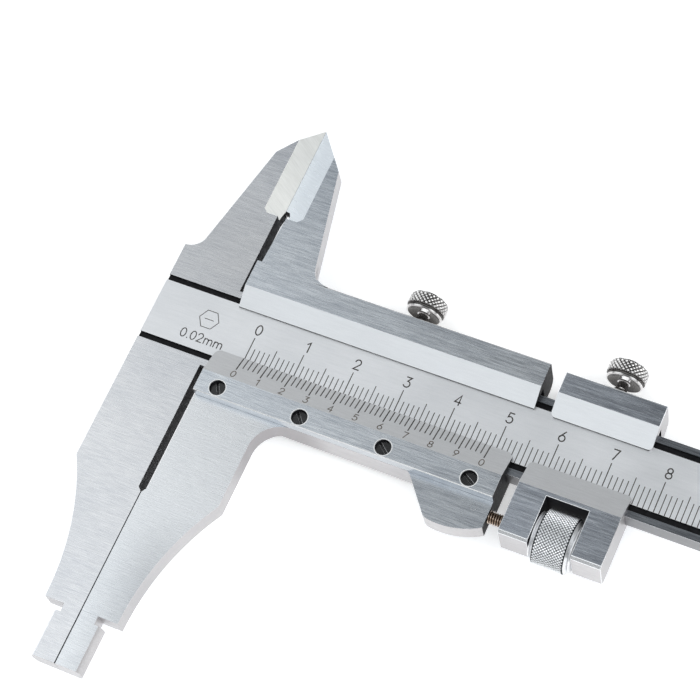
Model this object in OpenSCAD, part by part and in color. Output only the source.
// Vernier caliper, 0-200 mm, with knife jaws, nib jaws and a fine-adjustment carriage.
// X runs along the beam to the tail, Y across the beam to the knife jaws, Z out of the scale face.
// The origin is at the zero line of the main scale, on the centre line of the beam, on the back
// face of the slider. Sizes along X count from the contact plane of the jaws, and every piece is
// then moved so that X is zero at the zero line.

/* [Beam] */
// Distance from the contact plane of the jaws to the zero line of the main scale
zero_x = 6.47; // [6:0.01:7]
// Width of the beam
beam_w = 16.3; // [15.9:0.1:16.7]
// Thickness of the beam and of the jaws
beam_t = 4.0; // [3.8:0.1:4.2]
// Distance from the contact plane to the end of the tail
beam_tail = 298; // [294:1:320]
// Width of the scale face between its two grooves
scale_w = 11.4; // [11.2:0.1:11.6]
// Width of each groove beside the scale face
groove_w = 1.15; // [1.0:0.05:1.2]
// Depth of each groove
groove_d = 0.5; // [0.3:0.1:0.8]

/* [Lower jaws] */
// Reach of the nibs below the centre line of the beam
lower_reach = 69.2; // [68:0.1:71]
// Length of the rounded nibs
nib_len = 9.0; // [8:0.1:9.6]
// Width over both closed nibs
nib_pair_w = 10; // [9.8:0.1:10.4]
// Radius of the rounded face of each nib
nib_r = 3.1; // [3.0:0.1:3.4]
// Distance from the contact plane to the back edge of the head
head_back = 14.5; // [14:0.1:15]
// Width of each lower jaw above its nib
jaw_foot_w = 7.3; // [7.0:0.1:7.5]
// Radius of the long curve that narrows each lower jaw
jaw_curve_r = 52; // [51:0.5:54]
// Distance from the centre line down to the end of the lower slot
lower_slot_end = 34.4; // [33:0.2:36]

/* [Knife jaws] */
// Reach of the knife jaws above the centre line
upper_reach = 46; // [45:0.1:47]
// Height of the shoulder where the tip of each knife jaw begins
tip_base = 37.8; // [37:0.1:38.5]
// Distance of that shoulder from the contact plane
tip_side = 6.6; // [6.2:0.1:7]
// Lean of the outer edge of each knife jaw
knife_lean = 12.2; // [11:0.1:13]
// Height at which the knife edges begin
knife_base = 25.1; // [24:0.1:26]
// Width of the bevel of the fixed knife jaw
fixed_bevel_w = 3.5; // [3:0.1:4]
// Width of the bevel of the movable knife jaw
moving_bevel_w = 4.4; // [4:0.1:4.8]

/* [Slider] */
// Left end of the slider frame
slider_x0 = 0.95; // [0.9:0.05:1.2]
// Right end of the slider frame
slider_x1 = 59.9; // [59:0.1:60.2]
// Height of the top of the slider above the centre line
slider_top = 13.6; // [13.4:0.1:14]
// Distance from the centre line down to the bottom of the slider
slider_bottom = 13.87; // [13.7:0.01:14.1]
// Thickness of the back wall
back_wall = 1.8; // [1.7:0.05:1.9]
// Thickness of the front guides above the scale face
front_t = 2.4; // [2.2:0.05:2.5]
// Height at which the bevel of the upper guide starts on the scale face
upper_lip_foot = 5.1; // [5:0.05:5.4]
// Height at which the bevel of the upper guide ends
upper_lip_top = 8.85; // [8.6:0.05:9]
// Distance from the centre line to the thin edge of the lower bevel
lower_lip_foot = 4.25; // [4.15:0.05:4.4]
// Distance from the centre line to the foot of the lower bevel
lower_lip_top = 9.5; // [9.3:0.05:9.7]
// Thickness of the thin edges of the bevelled guides
lip_edge = 0.3; // [0.25:0.05:0.4]

/* [Vernier screws] */
// Position of the first vernier screw
screw_x0 = 5.1; // [4.8:0.1:5.4]
// Distance between the vernier screws
screw_pitch = 16.53; // [16.3:0.01:16.7]
// Distance of the vernier screws below the centre line
screw_y = 12.05; // [12.0:0.05:12.15]
// Diameter of the sunk holes for the screw heads
screw_hole_d = 3.05; // [3.0:0.05:3.1]

/* [Carriage] */
// Left end of the carriage
carriage_x0 = 63.1; // [62.9:0.1:63.3]
// Right end of the carriage
carriage_x1 = 82.2; // [82.1:0.1:82.6]
// Height of the top of the carriage
carriage_top = 13.1; // [12.9:0.1:13.4]
// Distance from the centre line down to the bottom of the carriage
carriage_bottom = 19.5; // [19.2:0.1:19.8]
// Left side of the window for the nut
window_x0 = 68.6; // [68.4:0.1:68.8]
// Right side of the window for the nut
window_x1 = 76.6; // [76.4:0.1:76.8]
// Distance from the centre line to the top of the window
window_top = 10.3; // [10.2:0.1:10.4]

/* [Fine feed] */
// Outer diameter of the feed screw
feed_d = 2.5; // [2.4:0.05:2.5]
// Distance of the feed screw below the centre line
feed_y = 16.05; // [16:0.05:16.1]
// Outer diameter of the knurled barrel of the nut
nut_d = 10.5; // [10:0.1:10.8]
// Length of the knurled barrel of the nut
nut_barrel = 6.0; // [5.6:0.1:6.2]
// Diameter of the smooth collars of the nut
nut_collar_d = 8.6; // [8.2:0.1:9]

/* [Clamp screws] */
// Position of the slider clamp screw
slider_clamp_x = 33.3; // [33:0.1:33.6]
// Position of the carriage clamp screw
carriage_clamp_x = 72.5; // [72.3:0.1:72.7]
// Diameter of the knurled heads
head_d = 7.6; // [7.4:0.1:7.8]
// Height of the underside of the heads above the centre line
head_base = 16.3; // [16.1:0.1:16.6]
// Length of the heads
head_len = 3.6; // [3.4:0.1:4]

/* [Fits] */
// Clearance between pieces that slide or turn on each other
slack = 0.05; // [0.04:0.01:0.06]

/* [Hidden] */
$fn = 96;

// Levels above the rest plane
beam_z0 = back_wall + slack;
face_z = beam_z0 + beam_t;
mid_z = beam_z0 + beam_t / 2;
seat_z = face_z + slack;
front_z = face_z + front_t;

// Places across the beam
beam_half = beam_w / 2;
guide_y = beam_half + slack;
gib_t = 1.0;
gib_outer = guide_y + gib_t;
wall_y = gib_outer + 0.2;
shoulder_y = lower_reach - nib_len - 1.5;
head_top = 13.7;
knife_slope = tan(knife_lean);
knife_root_top = slider_top + 0.65;
back_bevel_rise = 3;

// Corner and edge roundings
head_fillet_r = 3.3;
knife_fillet_r = 5;
jaw_fillet_r = 6;
back_edge_r = 2.2;
plate_corner_r = 1.2;
carriage_corner_r = 0.9;
edge_cut = 0.2;

// Gibs and their set screws
gib_half_h = 1.7;
gib_screw_tip_d = 1.6;
slot_half_w = 0.22;

// Sunk heads of the vernier screws
vernier_head_sink = 1.75;
vernier_head_h = 0.95;
vernier_thread_z0 = 2.8;

// Shank sizes
clamp_d = 3;
clamp_hole_d = clamp_d + 2 * slack;
grub_d = 2.5;
set_screw_x = [12, 52];
feed_hole_d = feed_d + 2 * 0.07;
feed_x0 = 52;
feed_x1 = 77.5;
pin_x = 57;
pin_d = 1.2;
stop_x = 290.5;
stop_w = 6;
stop_screw_y = 4.5;
fit = 0.02;

function unit(angle) = [cos(angle), sin(angle)];
function arc(centre, radius, from, to, steps) =
    [for (i = [0:steps]) centre + radius * unit(from + (to - from) * i / steps)];

// Moves what is placed from the contact plane, so that X is zero at the zero line
module from_contact() {
    translate([-zero_x, 0, 0]) children();
}

// Box between two corners
module slab(low, high) {
    translate(low) cube(high - low);
}

// Plate of an outline, between two levels
module plate(z0, z1) {
    translate([0, 0, z0]) linear_extrude(z1 - z0) children();
}

// Section in the Y-Z plane, run along X
module run(x0, x1) {
    translate([x0, 0, 0]) rotate([90, 0, 90]) linear_extrude(x1 - x0) children();
}

// Cylinders along each axis, from a start point
module rod_x(start, length, diameter) {
    translate(start) rotate([0, 90, 0]) cylinder(h = length, d = diameter);
}

module rod_y(start, length, diameter) {
    translate(start) rotate([-90, 0, 0]) cylinder(h = length, d = diameter);
}

module rod_z(start, length, diameter) {
    translate(start) cylinder(h = length, d = diameter);
}

// Fills or cuts the corner between two edges that leave it along two directions
module corner_piece(corner, dir_a, dir_b, radius) {
    half = abs(dir_b - dir_a) / 2;
    middle = (dir_a + dir_b) / 2;
    reach = radius / tan(half);
    centre = corner + radius / sin(half) * unit(middle);
    difference() {
        polygon([corner - 0.3 * unit(middle), corner + reach * unit(dir_a), centre,
                 corner + reach * unit(dir_b)]);
        translate(centre) circle(radius + fit);
    }
}

// Rounded measuring nib on one side of the contact plane; side is -1 or 1
module nib(side, contact) {
    half_w = nib_pair_w / 2;
    intersection() {
        slab([side < 0 ? -half_w : contact, -lower_reach, beam_z0],
             [side < 0 ? contact : half_w, -lower_reach + nib_len - 0.1, face_z]);
        union() {
            rod_y([side * (half_w - nib_r), -lower_reach - 1, mid_z], nib_len + 2, 2 * nib_r);
            slab([side < 0 ? -(half_w - nib_r) : contact, -lower_reach - 1, beam_z0],
                 [side < 0 ? contact : half_w - nib_r, -lower_reach + nib_len + 1, face_z]);
        }
    }
}

// Neck between the shoulder of a lower jaw and its nib
module nib_neck(side, contact) {
    neck_w = nib_pair_w / 2 - 1.6;
    slab([side < 0 ? -neck_w : contact, -lower_reach + nib_len - 1, beam_z0],
         [side < 0 ? contact : neck_w, -shoulder_y + 1, face_z]);
}

// Cutter for the front and back bevels that leave a knife edge at the contact plane. The back
// bevel starts a little nearer the tip.
module knife_bevels(side, contact, width) {
    land = 0.3;
    over = 1;
    corner = 0.8;
    fall = (beam_t / 2 - land / 2) / width;
    for (face = [-1, 1]) {
        base = face < 0 ? knife_base + back_bevel_rise : knife_base;
        intersection() {
            rotate([90, 0, 0])
                translate([0, 0, -upper_reach - 1])
                    linear_extrude(upper_reach + 1 - base)
                        polygon([[contact + side * (width + over), mid_z + face * (beam_t / 2 + over * fall)],
                                 [contact - side * over, mid_z + face * (land / 2 - over * fall)],
                                 [contact - side * over, mid_z + face * (beam_t / 2 + 2)],
                                 [contact + side * (width + over), mid_z + face * (beam_t / 2 + 2)]]);
            plate(0, 12)
                polygon([[contact + side * (width - corner), base - 1],
                         [contact + side * (width - corner), base],
                         [contact + side * (width + over), base + corner + over],
                         [contact + side * (width + over), upper_reach + 1],
                         [contact - side * over, upper_reach + 1],
                         [contact - side * over, base - 1]]);
        }
    }
}

// Outline of the head with both fixed jaws, down to the shoulder above the nib
module fixed_head_outline() {
    knife_root = tip_side + (tip_base - head_top) * knife_slope;
    difference() {
        union() {
            translate([-head_back, -shoulder_y]) square([head_back, shoulder_y + head_top]);
            polygon([[-knife_root, head_top - 1], [-knife_root, head_top],
                     [-tip_side, tip_base], [0, upper_reach], [0, head_top - 1]]);
            corner_piece([-knife_root, head_top], 90 - knife_lean, 180, head_fillet_r);
        }
        translate([-jaw_foot_w - jaw_curve_r, -shoulder_y]) circle(jaw_curve_r, $fn = 360);
        polygon([[1, -beam_half], [-0.85, -beam_half], [-0.85, -lower_slot_end + 0.5],
                 [0, -lower_slot_end - 0.4], [1, -lower_slot_end - 0.4]]);
        polygon([[1, beam_half], [-0.4, beam_half], [-0.4, knife_base - 0.2],
                 [-0.05, knife_base + 1.9], [1, knife_base + 1.9]]);
    }
}

module beam() {
    color("#c3c9ce") from_contact() {
        difference() {
            union() {
                plate(beam_z0, face_z) fixed_head_outline();
                slab([-1, -beam_half, beam_z0], [beam_tail, beam_half, face_z]);
                nib_neck(-1, 0);
            }
            knife_bevels(-1, 0, fixed_bevel_w);
            for (side = [-1, 1])
                slab([-head_back - 1, side * (scale_w + groove_w) / 2 - groove_w / 2, face_z - groove_d],
                     [beam_tail + 1, side * (scale_w + groove_w) / 2 + groove_w / 2, face_z + 1]);
            for (side = [-1, 1])
                rod_z([stop_x + stop_w / 2, side * stop_screw_y, beam_z0 - 1], 3.6, 2 + 2 * fit);
        }
        nib(-1, 0);
    }
}

module end_stop() {
    color("#b5bbc0") from_contact()
        difference() {
            slab([stop_x, -7.4, 0.3], [stop_x + stop_w, 7.4, beam_z0]);
            for (side = [-1, 1])
                translate([stop_x + stop_w / 2, side * stop_screw_y, 0.3]) {
                    translate([0, 0, -1]) cylinder(h = 4, d = 2.2);
                    translate([0, 0, -0.01]) cylinder(h = 0.91, d1 = 4.02, d2 = 2.2);
                }
        }
}

module end_stop_screw(side) {
    color("#8d9296") from_contact()
        translate([stop_x + stop_w / 2, side * stop_screw_y, 0.35])
            difference() {
                union() {
                    cylinder(h = 0.9, d1 = 3.8, d2 = 2);
                    cylinder(h = 3.6, d = 2);
                }
                slab([-3, -0.25, -1], [3, 0.25, 0.45]);
            }
}

module end_stop_screw_1() { end_stop_screw(-1); }
module end_stop_screw_2() { end_stop_screw(1); }

// Section of the slider: back wall, upper wall with its bevelled guide, and lower wall
module slider_section() {
    difference() {
        polygon([[-slider_bottom, 0.3], [-slider_bottom + 0.3, 0], [slider_top, 0],
                 [slider_top, front_z - edge_cut], [slider_top - edge_cut, front_z], [upper_lip_top, front_z],
                 [upper_lip_foot, seat_z + lip_edge], [upper_lip_foot, seat_z],
                 [-slider_bottom, seat_z]]);
        polygon([[-guide_y, back_wall], [wall_y, back_wall], [wall_y, seat_z], [guide_y - 1, seat_z],
                 [guide_y - 1, seat_z + 1e-3], [-guide_y, seat_z + 1e-3]]);
        corner_piece([slider_top, 0], 90, 180, back_edge_r);
    }
}

// Outline of the movable knife jaw, from inside the upper wall to the tip
module moving_knife_outline() {
    contact = slack;
    root = contact + tip_side + (tip_base - slider_top) * knife_slope;
    low = wall_y + 1;
    relief_x = slider_x0 + 0.45;
    polygon([[slider_x0, low], [root, low], [root, slider_top], [contact + tip_side, tip_base],
             [contact, upper_reach], [contact, knife_base + 2.3], [relief_x - 0.4, knife_base + 2],
             [relief_x, knife_base + 1.3], [relief_x, knife_base - 0.7], [slider_x0, slider_top + 2]]);
    corner_piece([root, slider_top], 90 + knife_lean, 0, knife_fillet_r);
}

// Root of the movable knife jaw, where it still has the full thickness of the slider
module knife_root_outline() {
    intersection() {
        moving_knife_outline();
        translate([0, wall_y + 1]) square([30, knife_root_top - wall_y - 1]);
    }
}

// Outline of the movable lower jaw, from inside the lower wall to the shoulder above the nib
module moving_jaw_outline() {
    contact = slack;
    low = slider_bottom - 2;
    difference() {
        union() {
            polygon([[slider_x0, -low], [head_back, -low], [head_back, -shoulder_y],
                     [contact, -shoulder_y], [contact, -lower_slot_end - 0.4],
                     [0.85, -lower_slot_end + 0.8], [0.85, -slider_bottom - 0.2],
                     [slider_x0, -slider_bottom - 0.2]]);
            corner_piece([head_back, -slider_bottom], -90, 0, jaw_fillet_r);
        }
        translate([jaw_foot_w + jaw_curve_r, -shoulder_y]) circle(jaw_curve_r, $fn = 360);
    }
}

// Outline of the lug that holds the feed screw
module lug_outline() {
    big_c = [52.3, -6.35];
    big_r = 14.8;
    small_r = 2;
    low_angle = -98;
    side_angle = -140.5;
    end_angle = -acos((slider_x1 - big_c[0]) / big_r);
    small_c = big_c + (big_r - small_r) * unit(low_angle);
    side_foot = small_c + small_r * unit(side_angle);
    blend_r = 1.5;
    blend_rise = -slider_bottom - blend_r - blend_r * sin(side_angle) - side_foot[1];
    blend_end = side_foot + blend_rise * [-tan(side_angle), 1];
    blend_c = blend_end + blend_r * unit(side_angle);
    polygon(concat([[slider_x1, -slider_bottom + 2]],
                   arc(big_c, big_r, end_angle, low_angle, 12),
                   arc(small_c, small_r, low_angle - 6, side_angle, 6),
                   arc(blend_c, blend_r, side_angle + 180, 90, 5),
                   [[blend_c[0], -slider_bottom + 2]]));
}

module slider_frame() {
    jaw_z0 = beam_z0;
    color("#aab1b8") from_contact() {
        difference() {
            union() {
                run(slider_x0, slider_x1) slider_section();
                plate(jaw_z0, seat_z) moving_knife_outline();
                plate(jaw_z0, front_z) knife_root_outline();
                plate(jaw_z0, seat_z) moving_jaw_outline();
                plate(jaw_z0, seat_z) lug_outline();
                nib_neck(1, slack);
            }
            knife_bevels(1, slack, moving_bevel_w);
            for (i = [0:3])
                rod_z([screw_x0 + i * screw_pitch, -screw_y, 2.6], 5, 2 + 2 * fit);
            for (x = set_screw_x)
                rod_y([x, wall_y - 0.5, mid_z], slider_top, grub_d + 2 * fit);
            rod_y([slider_clamp_x, wall_y - 0.5, mid_z], slider_top, clamp_hole_d);
            rod_x([feed_x0 - 0.3, -feed_y, mid_z], 12, feed_d + 2 * fit);
            rod_z([pin_x, -feed_y, 0], 12, pin_d + 2 * fit);
        }
        nib(1, slack);
    }
}

module vernier_plate() {
    color("#b3b8bd") from_contact()
        difference() {
            run(slider_x0, slider_x1)
                polygon([[-slider_bottom, seat_z], [-slider_bottom, front_z - 0.15],
                         [-slider_bottom + 0.15, front_z], [-lower_lip_top, front_z],
                         [-lower_lip_foot, seat_z + lip_edge], [-lower_lip_foot, seat_z]]);
            for (i = [0:3])
                translate([screw_x0 + i * screw_pitch, -screw_y, 0]) {
                    rod_z([0, 0, 5], 5, 2.3);
                    rod_z([0, 0, front_z - vernier_head_sink], 3, screw_hole_d);
                }
            plate(0, 12) corner_piece([slider_x0, -lower_lip_foot], -90, 0, plate_corner_r);
            plate(0, 12) corner_piece([slider_x1, -lower_lip_foot], -90, -180, plate_corner_r);
        }
}

module vernier_screw(i) {
    head_z = front_z - vernier_head_sink;
    color("#1d1e20") from_contact()
        translate([screw_x0 + i * screw_pitch, -screw_y, 0])
            difference() {
                union() {
                    rod_z([0, 0, head_z], vernier_head_h, screw_hole_d - 0.2);
                    rod_z([0, 0, vernier_thread_z0], head_z - vernier_thread_z0 + 0.5, 2);
                }
                translate([0, 0, head_z + 0.5])
                    rotate(-60 + 10 * i) slab([-2, -slot_half_w, 0], [2, slot_half_w, 2]);
            }
}

module vernier_screw_1() { vernier_screw(0); }
module vernier_screw_2() { vernier_screw(1); }
module vernier_screw_3() { vernier_screw(2); }
module vernier_screw_4() { vernier_screw(3); }

module slider_gib() {
    color("#9da4ab") from_contact()
        difference() {
            slab([3, guide_y, mid_z - gib_half_h], [58, gib_outer, mid_z + gib_half_h]);
            for (x = set_screw_x)
                rod_y([x, gib_outer - 0.4, mid_z], 2, gib_screw_tip_d + 2 * fit);
        }
}

module gib_set_screw(x) {
    tip = 0.35;
    color("#2a2c2f") from_contact()
        difference() {
            union() {
                rod_y([x, gib_outer - tip, mid_z], tip + 1, gib_screw_tip_d);
                rod_y([x, gib_outer, mid_z], slider_top - 0.5 - gib_outer, grub_d);
            }
            slab([x - 2, slider_top - 1.3, mid_z - slot_half_w], [x + 2, slider_top, mid_z + slot_half_w]);
        }
}

module gib_set_screw_1() { gib_set_screw(set_screw_x[0]); }
module gib_set_screw_2() { gib_set_screw(set_screw_x[1]); }

module feed_screw() {
    color("#8a7562") from_contact()
        difference() {
            rod_x([feed_x0, -feed_y, mid_z], feed_x1 - feed_x0, feed_d);
            rod_z([pin_x, -feed_y, 0], 12, pin_d + 2 * fit);
        }
}

module feed_screw_pin() {
    color("#9aa0a6") from_contact() rod_z([pin_x, -feed_y, beam_z0], seat_z - beam_z0, pin_d);
}

// Thumb screw along Y: shank, neck, dished underside, rim ring, knurled barrel and top chamfer
module clamp_screw(x, body_top) {
    r = head_d / 2;
    tip = gib_outer + slack;
    top = head_base + head_len;
    color("#d5d8da") from_contact()
        translate([x, 0, mid_z]) rotate([-90, 0, 0])
            rotate_extrude()
                polygon([[0, tip], [clamp_d / 2 - 0.3, tip], [clamp_d / 2, tip + 0.3],
                         [clamp_d / 2, body_top + 0.6], [1.9, body_top + 1], [1.9, head_base + 0.3],
                         [r - 1.3, head_base + 0.45], [r - 0.65, head_base], [r - 0.3, head_base],
                         [r - 0.3, head_base + 0.35], [r - 0.5, head_base + 0.5], [r, head_base + 0.8],
                         [r, top - 0.5], [r - 0.5, top - 0.1], [r - 1.1, top], [0, top]]);
}

module slider_clamp_screw() { clamp_screw(slider_clamp_x, slider_top); }
module carriage_clamp_screw() { clamp_screw(carriage_clamp_x, carriage_top); }

// Section of the carriage: a closed ring round the beam, with bevelled guides above and below
module carriage_section() {
    difference() {
        polygon([[-carriage_bottom, 0.6], [-carriage_bottom + 0.6, 0], [carriage_top, 0],
                 [carriage_top, front_z - edge_cut], [carriage_top - edge_cut, front_z], [upper_lip_top, front_z],
                 [upper_lip_foot - 0.3, seat_z + lip_edge], [upper_lip_foot - 0.3, seat_z],
                 [-lower_lip_foot - 0.2, seat_z], [-lower_lip_foot - 0.2, seat_z + lip_edge],
                 [-lower_lip_top, front_z], [-carriage_bottom + 0.5, front_z],
                 [-carriage_bottom, front_z - 0.6]]);
        translate([-guide_y, back_wall]) square([guide_y + wall_y, seat_z - back_wall]);
        corner_piece([carriage_top, 0], 90, 180, back_edge_r);
    }
}

module carriage_frame() {
    upper_foot = upper_lip_foot - 0.3;
    lower_foot = lower_lip_foot + 0.2;
    color("#9aa2aa") from_contact()
        difference() {
            run(carriage_x0, carriage_x1) carriage_section();
            slab([window_x0, -carriage_bottom - 1, -1], [window_x1, -window_top, front_z + 1]);
            rod_x([carriage_x0 - 1, -feed_y, mid_z], carriage_x1 - carriage_x0 - 0.5, feed_hole_d);
            rod_y([carriage_clamp_x, wall_y - 0.5, mid_z], carriage_top, clamp_hole_d);
            plate(seat_z - 0.5, 12) {
                corner_piece([carriage_x0, upper_foot], 90, 0, carriage_corner_r);
                corner_piece([carriage_x1, upper_foot], 90, 180, carriage_corner_r);
                corner_piece([carriage_x0, -lower_foot], -90, 0, carriage_corner_r);
                corner_piece([carriage_x1, -lower_foot], -90, -180, carriage_corner_r);
            }
        }
}

module carriage_gib() {
    color("#9da4ab") from_contact()
        slab([carriage_x0 + 1.5, guide_y, mid_z - gib_half_h], [carriage_x1 - 1.5, gib_outer, mid_z + gib_half_h]);
}

// Nut with a knurled barrel, a chamfer and a thin groove on each side of it, and two smooth collars
module feed_nut() {
    x0 = window_x0 + slack;
    length = window_x1 - window_x0 - 2 * slack;
    b0 = (length - nut_barrel) / 2;
    b1 = b0 + nut_barrel;
    cr = nut_collar_d / 2;
    br = nut_d / 2;
    neck = cr - 0.5;
    bore = feed_d / 2 + slack;
    color("#cfd2d4") from_contact()
        translate([x0, -feed_y, mid_z]) rotate([90, 0, 90])
            rotate_extrude()
                polygon([[bore, 0], [cr - 0.3, 0], [cr, 0.25], [cr, b0 - 0.6], [neck, b0 - 0.55],
                         [neck, b0 - 0.4], [cr, b0 - 0.38], [br - 0.4, b0], [br, b0 + 0.35],
                         [br, b1 - 0.35], [br - 0.4, b1], [cr, b1 + 0.38], [neck, b1 + 0.4],
                         [neck, b1 + 0.55], [cr, b1 + 0.6], [cr, length - 0.25],
                         [cr - 0.3, length], [bore, length]]);
}

beam();
end_stop();
end_stop_screw_1();
end_stop_screw_2();
slider_frame();
vernier_plate();
vernier_screw_1();
vernier_screw_2();
vernier_screw_3();
vernier_screw_4();
slider_gib();
gib_set_screw_1();
gib_set_screw_2();
feed_screw();
feed_screw_pin();
slider_clamp_screw();
carriage_frame();
carriage_gib();
carriage_clamp_screw();
feed_nut();
